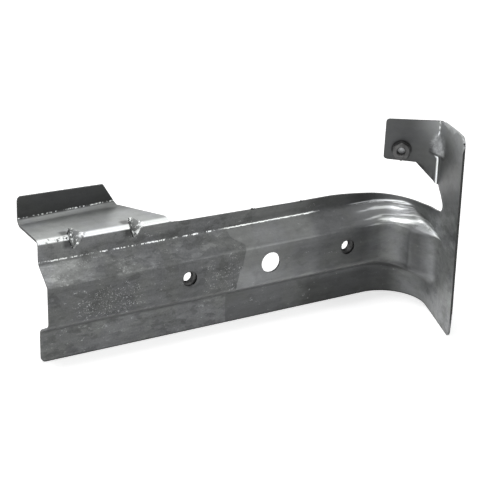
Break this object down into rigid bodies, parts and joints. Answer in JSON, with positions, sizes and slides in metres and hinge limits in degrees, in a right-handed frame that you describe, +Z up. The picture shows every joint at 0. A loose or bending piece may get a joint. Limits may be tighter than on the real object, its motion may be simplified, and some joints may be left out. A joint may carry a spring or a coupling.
{
  "type": "clutch pedal bracket",
  "caption": "Pressed steel bracket with a beaded channel that curves into an upright end plate, with a folded tab, a raised shelf and weld nuts.",
  "frame": {"origin": "centre of the large plain hole in the front face of the web", "axes": "+X along the channel towards the end plate, +Y to the rear away from the face of the web, +Z up towards the shelf and the tab"},
  "size_m": [0.271, 0.1262, 0.1377],
  "materials": {
    "sheet": "bare dark grey pressed steel, lightly scratched",
    "nut": "bare dark grey steel"
  },
  "bodies": {
    "root": {"bracket": "sheet", "web_nut_left": "nut", "web_nut_right": "nut", "tab_nut": "nut"}
  },
  "joints": []
}
